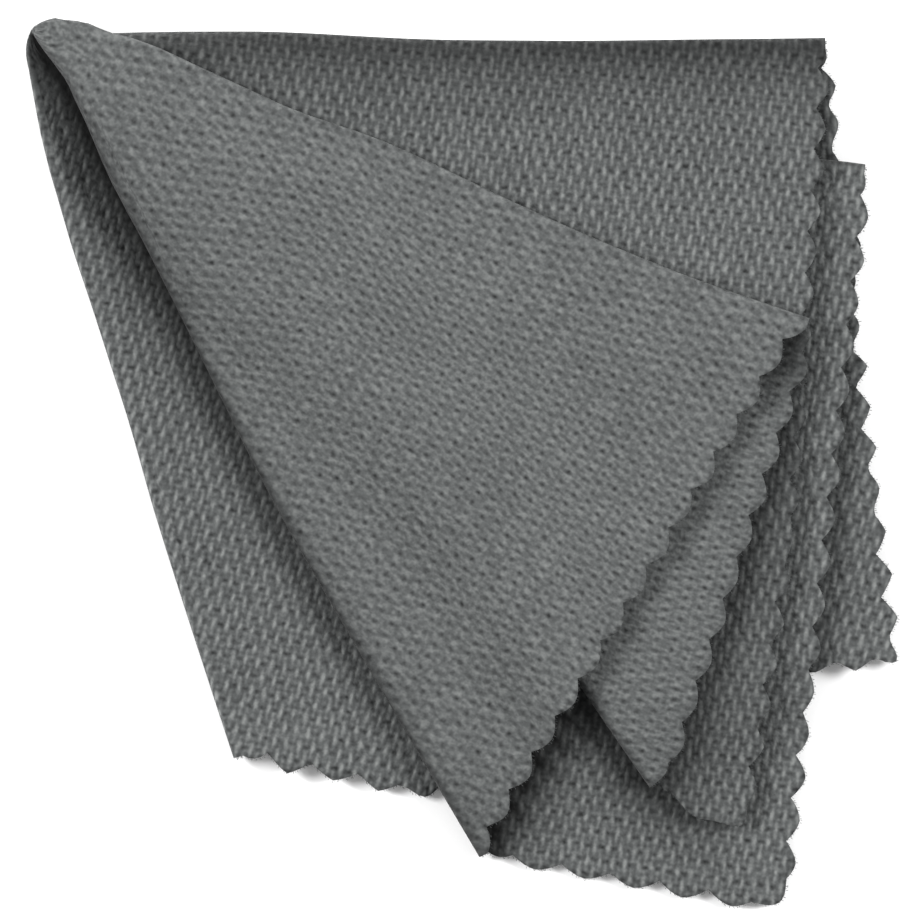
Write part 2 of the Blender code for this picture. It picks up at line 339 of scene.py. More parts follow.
def shade(layer, spots):
    """Painted shade on the upper side of a layer at plan points, as a share taken from its grey."""
    angle = np.degrees(np.arctan2(-spots[:, 1], spots[:, 0]))
    reach = np.linalg.norm(spots, axis=1)
    higher = [OUTLINES[level] for level in OUTLINES if level > layer.level]
    total = np.zeros(len(spots))
    if higher:
        gap = np.min([distance_outside(outline, spots) for outline in higher], axis=0)
        for part in SHADES:
            if part.level == layer.level:
                window = ease((angle - part.first) / WINDOW_EDGE + 1)
                window *= ease((part.last - angle) / WINDOW_EDGE + 1)
                window *= part.amount * (1.0 - part.fade * np.clip(reach / FADE_REACH, 0, 1))
                total = np.maximum(total, np.exp(-gap / part.width) * window)
    for roll in ROLL_SHADES:
        if roll.level == layer.level:
            fold = FOLDS[roll.fold]
            inward = fold.side * reach * np.radians(back_angle(fold, reach) - angle)
            dark = roll.amount * np.exp(-np.clip(inward, 0, None) / roll.width)
            total = np.maximum(total, dark * ease((reach - ROLL_START) / ROLL_IN))
    return np.minimum(total, DARKEST)


GROOVE = plan(np.array([40.0]), np.array([66.0]))    # beside the front layer's left fold
print("shade in the groove:", round(float(shade(LAYERS[4], GROOVE)[0]), 2))

# %% [markdown]
# ## The pinked edge
#
# Pinking shears leave a zigzag, so that a knit does not fray. The teeth here are as far
# apart as on common shears, 3/16 inch. Their tips are a little rounded and their roots
# sharp, as the blades leave them in a soft cloth, so the edge is a blend of a straight
# zigzag and a row of round scallops. A seeded draw makes no two teeth quite alike.

# %% Cut edge
TOOTH_PITCH = 4.76
WIDER_PITCH = {("under", 1): 6.0}    # the lowest edge is a little stretched
TOOTH_STEPS = 8                      # samples along one tooth
TOOTH_VARIETY = 0.12                 # spread of the teeth's depths
EDGE_BAND = 3.4                      # width of the rows that follow the teeth
EDGE_SHIFT = {"front": -1.1, "strip": 1.0, "under": 0.4}    # outward, for the whole edge
CORNER_REACH = 5                     # samples on each side of a corner that are smoothed
CORNER_PASSES = {"under": 12, "upper": 8, "wide": 3}
draw = np.random.default_rng(11)


def edge_corners(index):
    """Ends and corners of a layer's cut edge, without its teeth."""
    layer = LAYERS[index]
    before, after = LAYERS[index - 1], LAYERS[(index + 1) % len(LAYERS)]
    first, last = (np.array([FOLDS[name].tip]) for name in (layer.start, layer.end))
    line = [plan(first, fold_section(before, layer, first)[0])[0]]
    line += [plan(reach, angle) for angle, reach in layer.corners]
    return line + [plan(last, fold_section(layer, after, last)[0])[0]]


def outward(a, b):
    """Unit vector away from the tip, square to one straight of the edge."""
    across = np.array([-(b - a)[1], (b - a)[0]]) / np.linalg.norm(b - a)
    return across * math.copysign(1.0, across @ a)


def edge_samples(index):
    """Points along a layer's cut edge, before and after the teeth are cut."""
    layer, line = LAYERS[index], edge_corners(index)
    ways = [outward(a, b) for a, b in zip(line, line[1:])]
    plain, cut, turns = [], [], []
    for k, (a, b) in enumerate(zip(line, line[1:])):
        pitch = WIDER_PITCH.get((layer.name, k), TOOTH_PITCH)
        teeth = max(1, round(np.linalg.norm(b - a) / pitch))
        depths = layer.depth * (1.0 + TOOTH_VARIETY * draw.standard_normal(teeth + 1))
        for step in range(teeth * TOOTH_STEPS):
            phase = step / TOOTH_STEPS
            zigzag = abs(2.0 * (phase % 1.0) - 1.0)
            scallop = abs(math.cos(math.pi * phase))
            shape = (1 - layer.round) * zigzag + layer.round * scallop - 0.5
            reach = depths[round(phase)] * shape + EDGE_SHIFT.get(layer.name, 0.0)
            if k == 0:
                reach *= min(1.0, 2.0 * phase)
            if k == len(ways) - 1:
                reach *= min(1.0, 2.0 * (teeth - phase))
            way = ways[k]
            if step == 0 and k > 0:
                way = (ways[k] + ways[k - 1]) / np.linalg.norm(ways[k] + ways[k - 1])
                turns.append(len(cut))
            plain.append(a + (b - a) * step / (teeth * TOOTH_STEPS))
            cut.append(plain[-1] + way * reach)
    plain, cut = np.array([*plain, line[-1]]), np.array([*cut, line[-1]])
    for turn in turns:
        for _ in range(CORNER_PASSES.get(layer.name, 2)):
            near = cut[turn - CORNER_REACH: turn + CORNER_REACH + 1]
            near[1:-1] = (near[:-2] + 2 * near[1:-1] + near[2:]) / 4
    return plain, cut


edge_lengths = [
    np.linalg.norm(np.diff(np.array(edge_corners(index)), axis=0), axis=1).sum()
    for index in range(len(LAYERS))
]
print("cut edge of each layer, mm:", np.round(edge_lengths), "in all:", round(sum(edge_lengths)))

# %% [markdown]
# ## A grid, and a map for the stitches
#
# The sheet is a grid. Its rows run round the tip through all six layers and folds, and
# its columns run from the tip out to the cut edge. The rows are closer near the tip,
# where the folds crowd, and the last few lift a little, as a cut edge does. The knit
# needs a map of the cloth as it lay flat, so each layer turns its plan into the
# direction of its own stitches. On the front layer the wales draw closer to one side.

# %% Rows and the stitch map
INNER_SHARES = (0, 0.006, 0.013, 0.022, 0.033, 0.046, 0.062, 0.08, 0.10, 0.125, 0.155, 0.19)
OUTER_ROWS = 22
BAND_ROWS = (0.35, 0.7, 1.0)
SHARES = np.concatenate([INNER_SHARES, np.linspace(0.225, 1.0, OUTER_ROWS)])

EDGE_CURL = 0.35      # the free edge lifts by this much over the last rows
CURL_ROWS = 3 + len(BAND_ROWS)
LIFTED = EDGE_CURL * (np.arange(1, CURL_ROWS + 1) / CURL_ROWS) ** 2
CURLS = np.concatenate([np.zeros(len(SHARES) + len(BAND_ROWS) - CURL_ROWS), LIFTED])

CLOSER = 3.7                                # how far the front's wales draw sideways
CLOSER_SLANT, CLOSER_PLACE, CLOSER_WIDTH = 0.35, 16.0, 12.0
CLOSER_START, CLOSER_IN = 20.0, 30.0        # reach where that begins and over which it grows


def stitch_map(layer, spots):
    """Place on the flat cloth, in millimetres across and along its wales."""
    turn = math.radians(layer.wale)
    along = spots @ np.array([math.cos(turn), -math.sin(turn)])
    across = spots @ np.array([-math.sin(turn), -math.cos(turn)])
    if layer.name == "front":
        reach = np.linalg.norm(spots, axis=-1)
        side = np.tanh((across - CLOSER_SLANT * along + CLOSER_PLACE) / CLOSER_WIDTH)
        across = across + CLOSER * side * ease((reach - CLOSER_START) / CLOSER_IN)
    return np.stack([layer.face * across * layer.pull[0], along * layer.pull[1]], axis=-1)


print("rows from the tip to the cut edge:", len(SHARES) + len(BAND_ROWS))

# %% [markdown]
# ## The columns on a layer and round a fold
#
# On a layer, the two sides of the sheet are the height of its middle plus and minus
# half the thickness. Round a fold they are two half circles, one inside the other,
# pressed flat where the layers lie close. Only the side that looks up gets painted shade.

# %% Columns
FOLD_STEPS = 10       # steps of the half circle round a fold


def run_columns(index):
    """Both sides, the map and both sides' painted shade of the columns on one layer."""
    layer = LAYERS[index]
    before, after = LAYERS[index - 1], LAYERS[(index + 1) % len(LAYERS)]
    plain, cut = edge_samples(index)
    reach = np.linalg.norm(plain, axis=1)
    angle = np.degrees(np.arctan2(-plain[:, 1], plain[:, 0]))
    low = fold_section(before, layer, reach)[0]
    high = fold_section(layer, after, reach)[0]
    share = np.clip((angle - low) / (high - low), 0.0, 1.0)[:, None]
    rows = TIP_START + (reach[:, None] - EDGE_BAND - TIP_START) * SHARES[None]
    flat_rows = rows.ravel()
    low = fold_section(before, layer, flat_rows)[0].reshape(rows.shape)
    high = fold_section(layer, after, flat_rows)[0].reshape(rows.shape)
    spots = plan(rows, low + (high - low) * share)
    start = spots[:, -1:]
    band = start + (cut[:, None] - start) * np.array(BAND_ROWS)[None, :, None]
    spots = np.concatenate([spots, band], axis=1)
    shape = spots.shape[:2]
    points = spots.reshape(-1, 2)
    up = height(layer.level, points) + np.tile(CURLS, shape[0])
    thick = SHEET / 2 * squash(np.linalg.norm(points, axis=1))
    sides = [
        np.column_stack([points, up + face * layer.face * thick]).reshape(*shape, 3)
        for face in (1, -1)
    ]
    dark = shade(layer, points).reshape(shape)
    darks = [dark if side == layer.face else 0 * dark for side in (1, -1)]
    return sides, stitch_map(layer, points).reshape(*shape, 2), darks


def fold_columns(index):
    """Both sides round the fold after a layer, its map for each half, and its painted shade."""
    layer, after = LAYERS[index], LAYERS[(index + 1) % len(LAYERS)]
    fold = FOLDS[layer.end]
    rows = TIP_START + (fold.tip - EDGE_BAND - TIP_START) * SHARES
    rows = np.concatenate([rows, rows[-1] + (fold.tip - rows[-1]) * np.array(BAND_ROWS)])
    angle, start, end, depth = fold_section(layer, after, rows)
    base, heading = plan(rows, angle), np.radians(angle)
    across = np.stack([-np.sin(heading), -np.cos(heading)], axis=-1) * fold.side
    middle, half = (start + end) / 2 + CURLS, (start - end) / 2
    outer_way, thick = layer.face * np.sign(half), SHEET / 2 * squash(rows)
    columns, near, far, darks = ([], []), [], [], ([], [])
    top = layer if half[-1] > 0 else after
    dark = shade(top, base)
    for step in range(1, FOLD_STEPS):
        turn = math.pi * step / FOLD_STEPS
        for face, side in ((1, 0), (-1, 1)):
            grow = face * outer_way * thick
            out = (depth + grow) * math.sin(turn)
            up = middle + (np.abs(half) + grow) * np.sign(half) * math.cos(turn)
            columns[side].append(np.column_stack([base + across * out[:, None], up]))
            roll = dark * (1 + math.copysign(1, half[-1]) * math.cos(turn)) / 2
            roll = roll + BACK_SHADES.get(fold.name, 0.0) * math.sin(turn) ** 2
            darks[side].append(np.where(grow > 0, np.minimum(roll, DARKEST), 0.0))
        arc = (depth + np.abs(half)) / 2
        near.append(stitch_map(layer, base + across * (arc * turn)[:, None]))
        far.append(stitch_map(after, base + across * (arc * (math.pi - turn))[:, None]))
    bold = [layer.bold + (after.bold - layer.bold) * k / FOLD_STEPS for k in range(1, FOLD_STEPS)]
    return columns, near, far, darks, bold


print("columns round one fold:", FOLD_STEPS - 1)

# %% [markdown]
# ## The whole sheet
#
# The layers and folds follow one another round the tip, and the last fold leads back to
# the first layer. At the middle of each fold the stitch map changes from one layer's
# direction to the next one's, so each column has a map for the faces before it and one
# for the faces after it.

# %% All columns
outer, inner, near_map, far_map = [], [], [], []
outer_shade, inner_shade, boldness = [], [], []
for index in range(len(LAYERS)):
    sides, flat, darks = run_columns(index)
    outer += list(sides[0])
    inner += list(sides[1])
    near_map += list(flat)
    far_map += list(flat)
    outer_shade += list(darks[0])
    inner_shade += list(darks[1])
    boldness += [LAYERS[index].bold] * len(flat)
    sides, near, far, darks, bold = fold_columns(index)
    half = FOLD_STEPS // 2
    outer += sides[0]
    inner += sides[1]
    near_map += near[:half] + far[half:]
    far_map += near[: half - 1] + far[half - 1:]
    outer_shade += darks[0]
    inner_shade += darks[1]
    boldness += bold
outer, inner = np.array(outer), np.array(inner)
near_map, far_map = np.array(near_map), np.array(far_map)
outer_shade, inner_shade = np.array(outer_shade), np.array(inner_shade)
print("columns and rows:", outer.shape[:2])

# %% [markdown]
# ## Closing the tip and the edge
#
# At the tip all the folds crumple into a small round end. Smaller and smaller copies of
# the innermost row, each a little further back, close it like the toe of a sock. The
# cut edge joins the two sides with one strip of faces.

# %% The tip's rings
TIP_BACK, TIP_AXIS = 2.0, 36.0
TIP_RINGS = (0.93, 0.84, 0.72, 0.57, 0.40, 0.20)
BACK_LEAD = 1.7                       # how soon the first rings step back
TIP_CREASED, TIP_BOLD = 5.0, 0.6      # near the tip the crumpled stitches show less boldly


def tip_rings(ring):
    """Rings from the innermost row to the end of the tip, and the last point."""
    centre = (ring.min(axis=0) + ring.max(axis=0)) / 2
    backward = -np.append(plan(TIP_BACK, TIP_AXIS), 0.0)
    rings = []
    for size in TIP_RINGS:
        gone = 1.0 - size
        scale = np.array([size, size, math.sqrt(1.0 - gone**2)])
        step_back = gone * (BACK_LEAD - (BACK_LEAD - 1) * gone)
        rings.append(centre + (ring - centre) * scale + backward * step_back)
    return rings, centre + backward


print("rings that close the tip:", len(TIP_RINGS))

# %% [markdown]
# ## From columns to one mesh
#
# Four-sided faces join neighbouring columns on both sides of the sheet, along the cut
# edge and round the rings of the tip, so the mesh is closed. The stitch map becomes its
# UVs, in millimetres of flat cloth. The painted shade and the boldness of the stitch
# become values on its vertices, and the material reads them.

# %% The mesh
TIP_PLACE = np.array([-47.186, 47.435, 0.0])   # the tip in the frame, in millimetres


def sheet_mesh(name):
    """The closed mesh of the cloth, with its flat map as UVs in millimetres."""
    count, rows = outer.shape[:2]
    rings, point = tip_rings(outer[:, 0])
    verts = [outer.reshape(-1, 3), inner.reshape(-1, 3), *rings, point[None]]
    ring_start = 2 * count * rows
    faces, maps = [], []
    nxt = np.roll(np.arange(count), -1)
    for side, base in ((0, 0), (1, count * rows)):
        for i in range(count):
            j = nxt[i]
            here, there = near_map[i], far_map[j]
            for row in range(rows - 1):
                quad = [base + i * rows + row, base + j * rows + row,
                        base + j * rows + row + 1, base + i * rows + row + 1]
                uv = [here[row], there[row], there[row + 1], here[row + 1]]
                faces.append(quad if side == 0 else quad[::-1])
                maps.append(uv if side == 0 else uv[::-1])
    for i in range(count):
        j = nxt[i]
        a, b = i * rows + rows - 1, j * rows + rows - 1
        faces.append([a, b, b + count * rows, a + count * rows])
        here, there = near_map[i][-1], far_map[j][-1]
        maps.append([here, there, there + (0.0, SHEET), here + (0.0, SHEET)])
    verts = np.concatenate(verts)
    levels = [np.arange(count) * rows]
    levels += [ring_start + k * count + np.arange(count) for k in range(len(rings))]
    tip_map = [near_map[:, 0] + (verts[level] - outer[:, 0])[:, :2] for level in levels]
    for k in range(len(rings)):
        for i in range(count):
            j = nxt[i]
            faces.append([levels[k][i], levels[k + 1][i], levels[k + 1][j], levels[k][j]])
            maps.append([tip_map[k][i], tip_map[k + 1][i], tip_map[k + 1][j], tip_map[k][j]])
    last = len(verts) - 1
    for i in range(count):
        j = nxt[i]
        faces.append([levels[-1][i], last, levels[-1][j]])
        maps.append([tip_map[-1][i], tip_map[-1].mean(axis=0), tip_map[-1][j]])
    mesh = bpy.data.meshes.new(name)
    mesh.from_pydata(((verts + TIP_PLACE) * MM).tolist(), [], [list(map(int, f)) for f in faces])
    layer = mesh.uv_layers.new(name="flat_cloth_mm")
    layer.data.foreach_set("uv", np.concatenate([np.array(m) for m in maps]).ravel())
    near_tip = ease((np.linalg.norm(outer[..., :2], axis=-1) - TIP_START) / TIP_CREASED)
    near_tip = TIP_BOLD + (1 - TIP_BOLD) * near_tip
    bold = (np.array(boldness)[:, None] * near_tip).ravel()
    tip_bold = np.full(len(rings) * count + 1, TIP_BOLD)
    tip_shade = np.append(np.tile(outer_shade[:, 0], len(rings)), outer_shade[:, 0].mean())
    # The painted shade and the stitch's boldness become values on the vertices.
    for title, parts in (
        ("stitch_boldness", (bold, bold, tip_bold)),
        ("shade", (outer_shade.ravel(), inner_shade.ravel(), tip_shade)),
    ):
        values = mesh.attributes.new(title, "FLOAT", "POINT")
        values.data.foreach_set("value", np.concatenate(parts))
    mesh.shade_smooth()
    return mesh


cloth_mesh = sheet_mesh("cloth_sheet")
cloth = bpy.data.objects.new("cloth_sheet", cloth_mesh)
bpy.context.scene.collection.objects.link(cloth)
print("triangles of the sheet:", sum(len(face.vertices) - 2 for face in cloth_mesh.polygons))

# %% [markdown]
# ## Colours and one helper for nodes
#
# Colours are written as the sRGB hex values that an eye would match, and one function
# turns them into the linear values that Blender's sockets hold. One more helper adds a
# node, sets its properties and inputs, and links it.

# %% Helpers
def linear(hex_colour):
    """Linear RGBA of an sRGB hex colour."""
    parts = [int(hex_colour[i:i + 2], 16) / 255 for i in (1, 3, 5)]
    return [c / 12.92 if c <= 0.04045 else ((c + 0.055) / 1.055) ** 2.4 for c in parts] + [1.0]


def node(tree, kind, inputs=(), output=0, **settings):
    """Adds a node and returns one output. Inputs go by place or by name, and sockets are linked."""
    made = tree.nodes.new(kind)
    for key, value in settings.items():
        setattr(made, key, value)
    for key, value in inputs.items() if isinstance(inputs, dict) else enumerate(inputs):
        if isinstance(value, bpy.types.NodeSocket):
            tree.links.new(value, made.inputs[key])
        else:
            made.inputs[key].default_value = value
    return made.outputs[output]


print("a mid grey in linear light:", round(linear("#808080")[0], 3))

# %% [markdown]
# ## The stitch as a height
#
# A microfibre cloth is a warp knit of split polyester and polyamide, far finer than a
# hair. Its loops form upright wales, and from row to row they step sideways by half a
# loop, so the face is a brick pattern of small soft hollows and knuckles, with a fine
# rib along each wale. An image could not follow the folds at any size, so the knit is
# worked out in the material from the cloth's flat map. A product of two cosines is just
# such a brick pattern, and a few of its harmonics turn the soft checks into loops.
# Noises stand for the fibres: one drawn out along the wales, a grain in space that no
# fold can stretch, and two slow ones for loops of uneven size and place.

# %% The stitch
WALE, ROW = 1.47, 1.69       # millimetres from wale to wale and from row to row
WANDER = 0.55                # how far loops are pushed off their grid, mm
LOOPS, CRISP, STEP = 0.32, 0.12, -0.18
RIB, RIB_START = 2.05, -1.63      # ribs where the stitch is bold, a pale net where it isn't
UNEVEN = 0.8
STRANDS, STRAND_LEVEL = 1.3, 0.65
GRAIN, GRAIN_RELIEF = 1800.0, 2.5    # grains to a metre, about 0.55 mm each
MATHS = "ShaderNodeMath"
VECTOR_MATHS = "ShaderNodeVectorMath"
NOISE = "ShaderNodeTexNoise"


def stitch_relief(tree, uv, bold):
    """Height of the knit's face, from its flat map and from how boldly the stitch shows."""
    pull = node(tree, NOISE, {"Vector": uv, "Scale": 0.45, "Detail": 3.0}, "Color",
                noise_dimensions="2D")
    place = node(tree, VECTOR_MATHS, (pull, (WANDER, WANDER, 0.0), uv), operation="MULTIPLY_ADD")
    split = node(tree, "ShaderNodeSeparateXYZ", (place,)).node
    across = node(tree, MATHS, (split.outputs[0], math.tau / WALE), operation="MULTIPLY")
    along = node(tree, MATHS, (split.outputs[1], math.pi / ROW), operation="MULTIPLY")

    # The brick pattern and its harmonics: products of waves across and along.
    column = node(tree, MATHS, (across,), operation="COSINE")
    course = node(tree, MATHS, (along,), operation="COSINE")
    relief = node(tree, MATHS, (column, course), operation="MULTIPLY")
    for times, share in ((3.0, LOOPS), (5.0, CRISP)):
        wave = node(tree, MATHS, (along, times), operation="MULTIPLY")
        wave = node(tree, MATHS, (wave,), operation="COSINE")
        loops = node(tree, MATHS, (column, wave), operation="MULTIPLY")
        relief = node(tree, MATHS, (loops, share, relief), operation="MULTIPLY_ADD")
    ribbed = node(tree, MATHS, (bold, RIB, RIB_START), operation="MULTIPLY_ADD")
    for line, times, share in ((across, 2.0, ribbed), (along, 4.0, STEP)):
        wave = node(tree, MATHS, (line, times), operation="MULTIPLY")
        wave = node(tree, MATHS, (wave,), operation="COSINE")
        relief = node(tree, MATHS, (wave, share, relief), operation="MULTIPLY_ADD")

    # Loops of uneven size, strands along the wales, and loose grain over all of it.
    speck = node(tree, NOISE, {"Vector": uv, "Scale": 0.9, "Detail": 2.0}, noise_dimensions="2D")
    uneven = node(tree, MATHS, (speck, UNEVEN, 1.0 - UNEVEN / 2), operation="MULTIPLY_ADD")
    relief = node(tree, MATHS, (relief, uneven), operation="MULTIPLY")
    drawn = node(tree, VECTOR_MATHS, (uv, (1.0, 0.5, 1.0)), operation="MULTIPLY")
    strand = node(tree, NOISE, {"Vector": drawn, "Scale": 1.7, "Detail": 1.0}, noise_dimensions="2D")
    relief = node(tree, MATHS, (strand, STRANDS, relief), operation="MULTIPLY_ADD")
    relief = node(tree, MATHS, (relief, STRAND_LEVEL), operation="SUBTRACT")
    relief = node(tree, MATHS, (relief, bold), operation="MULTIPLY")
    space = node(tree, "ShaderNodeTexCoord", output="Object")
    grain = node(tree, NOISE, {"Vector": space, "Scale": GRAIN, "Detail": 1.0})
    grain = node(tree, MATHS, (grain, 0.5), operation="SUBTRACT")
    return node(tree, MATHS, (grain, GRAIN_RELIEF, relief), operation="MULTIPLY_ADD")


print("from wale to wale and row to row, mm:", WALE, ROW)

# %% [markdown]
# ## Knitted microfibre
#
# Hollows hold less light than knuckles, so the height also sets the grey, from dark
# through middle to pale, with slow worn patches over it: the knit's own pattern, with
# painted shade in its hollows. The painted shade between the layers takes light away
# from that. A low bump turns the face of each loop, as a soft knit does. The cloth is
# matt, with a faint bloom at grazing angles from the split fibres.

# %% The knit's material
DARK, MIDDLE, PALE = "#232424", "#4f5151", "#767877"
CONTRAST, LEVEL, WORN = 0.27, 0.45, 0.12
BUMP_STRENGTH, BUMP_HEIGHT = 0.6, 0.12 * MM
MATT, DULL = 0.92, 0.2       # roughness, and the little that the fibres reflect


def knitted_microfibre():
    """Matt grey warp knit with soft hollows, fine ribs and split fibres."""
    material = bpy.data.materials.new("knitted_microfibre_grey")
    material.use_nodes = True
    tree = material.node_tree
    shader = tree.nodes["Principled BSDF"]
    uv = node(tree, "ShaderNodeUVMap", uv_map="flat_cloth_mm")
    bold = node(tree, "ShaderNodeAttribute", output="Fac", attribute_name="stitch_boldness")
    relief = stitch_relief(tree, uv, bold)

    # The stitch height sets the grey: the knit's pattern, with painted shade in its hollows.
    patch = node(tree, NOISE, {"Vector": uv, "Scale": 0.10, "Detail": 3.0}, noise_dimensions="2D")
    light = node(tree, MATHS, (relief, CONTRAST, LEVEL), operation="MULTIPLY_ADD")
    light = node(tree, MATHS, (patch, WORN, light), operation="MULTIPLY_ADD")
    ramp = node(tree, "ShaderNodeValToRGB", (light,))
    stops = ramp.node.color_ramp.elements
    stops[0].position, stops[0].color = 0.0, linear(DARK)
    stops[1].position, stops[1].color = 1.0, linear(PALE)
    middle = stops.new(0.5)
    middle.color = linear(MIDDLE)

    # Painted shade between the layers, taken as a share from the grey.
    shaded = node(tree, "ShaderNodeAttribute", output="Fac", attribute_name="shade")
    lit = node(tree, MATHS, (1.0, shaded), operation="SUBTRACT")
    colour = node(tree, VECTOR_MATHS, {0: ramp, "Scale": lit}, operation="SCALE")
    tree.links.new(colour, shader.inputs["Base Color"])

    bump = node(tree, "ShaderNodeBump",
                {"Strength": BUMP_STRENGTH, "Distance": BUMP_HEIGHT, "Height": relief})
    tree.links.new(bump, shader.inputs["Normal"])
    shader.inputs["Roughness"].default_value = MATT
    shader.inputs["Metallic"].default_value = 0.0
    shader.inputs["Specular IOR Level"].default_value = DULL
    shader.inputs["Sheen Weight"].default_value = 0.08
    shader.inputs["Sheen Roughness"].default_value = 0.5
    return material


cloth_mesh.materials.append(knitted_microfibre())
print("nodes of the knit:", len(cloth_mesh.materials[0].node_tree.nodes))

# %% [markdown]
# ## Loose fibres on the cut edge
#
# Shears cut through thousands of filaments, and their ends stand out of the edge as a
# short fuzz. Geometry Nodes suit this, because one small fibre repeats along a line: the
# edge becomes a curve, the curve becomes points, and each point gets a bent fibre that
# leans outward with a random tilt and size. Real filaments are under 0.01 mm thick and
# would not show, so these are drawn coarser, about 0.04 mm thick, and as few as still
# read as fuzz.

# %% Fibre material
FIBRE_GREY = "#545656"


def split_fibre():
    """Loose ends of the split microfibre: matt, and a little paler than the knit."""
    material = bpy.data.materials.new("split_microfibre_ends")
    material.use_nodes = True
    shader = material.node_tree.nodes["Principled BSDF"]
    shader.inputs["Base Color"].default_value = linear(FIBRE_GREY)
    shader.inputs["Roughness"].default_value = MATT
    shader.inputs["Specular IOR Level"].default_value = DULL
    return material


# %% [markdown]
# ## The tree that grows the fuzz
#
# Its inputs are the spacing along the edge, the fibre's length and radius, how far the
# roots scatter in the sheet's thickness, the tilt and a seed. One bent fibre of unit
# length is made once and scaled at each point.

# %% Fibre node tree
FIBRE_SIZES = {"Spacing": 0.15 * MM, "Length": 0.18 * MM, "Radius": 0.022 * MM,
               "Scatter": 0.12 * MM, "Tilt": 0.9}
FIBRE_SEED = 7
SHORTEST, LONGEST = 0.4, 1.4      # shares of the length


def fibre_tree():
    """Node tree that sets short bent fibres along an edge line."""
    tree = bpy.data.node_groups.new("cut_edge_fuzz", "GeometryNodeTree")
    sockets = tree.interface
    sockets.new_socket("Edge", in_out="INPUT", socket_type="NodeSocketGeometry")
    for name in FIBRE_SIZES:
        sockets.new_socket(name, in_out="INPUT", socket_type="NodeSocketFloat")
    sockets.new_socket("Seed", in_out="INPUT", socket_type="NodeSocketInt")
    sockets.new_socket("Fuzz", in_out="OUTPUT", socket_type="NodeSocketGeometry")
    edge = node(tree, "NodeGroupInput")
    given = edge.node.outputs

    line = node(tree, "GeometryNodeMeshToCurve", (edge,))
    points = node(tree, "GeometryNodeResampleCurve",
                  {"Curve": line, "Length": given["Spacing"]}, mode="LENGTH")
    about = node(tree, "FunctionNodeRandomValue",
                 {"Min": (-1, -1, -1), "Max": (1, 1, 1), "Seed": given["Seed"]},
                 data_type="FLOAT_VECTOR")
    inside = node(tree, VECTOR_MATHS, {0: about, "Scale": given["Scatter"]}, operation="SCALE")
    points = node(tree, "GeometryNodeSetPosition", {"Geometry": points, "Offset": inside})

    outward = node(tree, "GeometryNodeInputNamedAttribute", {"Name": "outward"},
                   data_type="FLOAT_VECTOR")
    flatter = node(tree, VECTOR_MATHS, (about, (1.0, 1.0, 0.3)), operation="MULTIPLY")
    tilt = node(tree, VECTOR_MATHS, {0: flatter, "Scale": given["Tilt"]}, operation="SCALE")
    lean = node(tree, VECTOR_MATHS, (outward, tilt), operation="ADD")
    turn = node(tree, "FunctionNodeAlignRotationToVector", {"Vector": lean}, axis="Z")

    slim = node(tree, MATHS, (given["Radius"], given["Length"]), operation="DIVIDE")
    arc = node(tree, "GeometryNodeCurveQuadraticBezier",
               {"Resolution": 3, "Start": (0, 0, 0), "Middle": (0.1, 0, 0.6), "End": (0.4, 0, 1.0)})
    round_end = node(tree, "GeometryNodeCurvePrimitiveCircle", {"Resolution": 3, "Radius": slim})
    fibre = node(tree, "GeometryNodeCurveToMesh",
                 {"Curve": arc, "Profile Curve": round_end, "Fill Caps": True})
    share = node(tree, "FunctionNodeRandomValue",
                 {2: SHORTEST, 3: LONGEST, "Seed": given["Seed"]}, 1, data_type="FLOAT")
    size = node(tree, MATHS, (share, given["Length"]), operation="MULTIPLY")
    placed = node(tree, "GeometryNodeInstanceOnPoints",
                  {"Points": points, "Instance": fibre, "Rotation": turn, "Scale": size})
    real = node(tree, "GeometryNodeRealizeInstances", (placed,))
    done = node(tree, "GeometryNodeSetMaterial", {"Geometry": real, "Material": split_fibre()})
    end = tree.nodes.new("NodeGroupOutput")
    tree.links.new(done, end.inputs[0])
    return tree


print("inputs of the fuzz tree:", list(FIBRE_SIZES), "and Seed")

# %% [markdown]
# ## The fuzz as a plain mesh
#
# The guide is the middle of the cut edge as a closed line, and each of its points knows
# which way is outward. The tree's inputs are set before it is first evaluated, the
# result is kept as a plain mesh, and the guide goes away.

# %% Growing the fuzz
def edge_line(name):
    """The cut edge as a closed line, with the way outward at each point."""
    ends = (outer[:, -1] + inner[:, -1]) / 2
    ways = outer[:, -1] - outer[:, -2]
    ways /= np.linalg.norm(ways, axis=1)[:, None]
    mesh = bpy.data.meshes.new(name)
    pairs = [(i, (i + 1) % len(ends)) for i in range(len(ends))]
    mesh.from_pydata(((ends + TIP_PLACE) * MM).tolist(), pairs, [])
    values = mesh.attributes.new("outward", "FLOAT_VECTOR", "POINT")
    values.data.foreach_set("vector", ways.ravel())
    return mesh


guide = bpy.data.objects.new("edge_guide", edge_line("edge_guide"))
bpy.context.scene.collection.objects.link(guide)
growth = guide.modifiers.new("fuzz", "NODES")
growth.node_group = fibre_tree()
for socket in growth.node_group.interface.items_tree:
    if socket.name in FIBRE_SIZES:
        growth[socket.identifier] = FIBRE_SIZES[socket.name]
    elif socket.name == "Seed":
        growth[socket.identifier] = FIBRE_SEED
grown = guide.evaluated_get(bpy.context.evaluated_depsgraph_get())
fuzz = bpy.data.objects.new("cut_edge_fuzz", bpy.data.meshes.new_from_object(grown))
bpy.context.scene.collection.objects.link(fuzz)
bpy.data.objects.remove(guide)
print("triangles of fuzz:", sum(len(face.vertices) - 2 for face in fuzz.data.polygons))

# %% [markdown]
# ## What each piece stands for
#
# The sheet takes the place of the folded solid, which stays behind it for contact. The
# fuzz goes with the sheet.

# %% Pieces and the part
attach(cloth, "root")
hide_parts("cloth")
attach(fuzz, "root")

# %% [markdown]
# ## The floor
#
# The cloth lies on a plain white surface. A painted board keeps the same white from
# every side, and takes the faint shadows that show where the cut edge lifts.

# %% Floor
BOARD_WHITE, BOARD_ROUGHNESS, BOARD_SIDE = "#fbfbfb", 0.9, 3.0


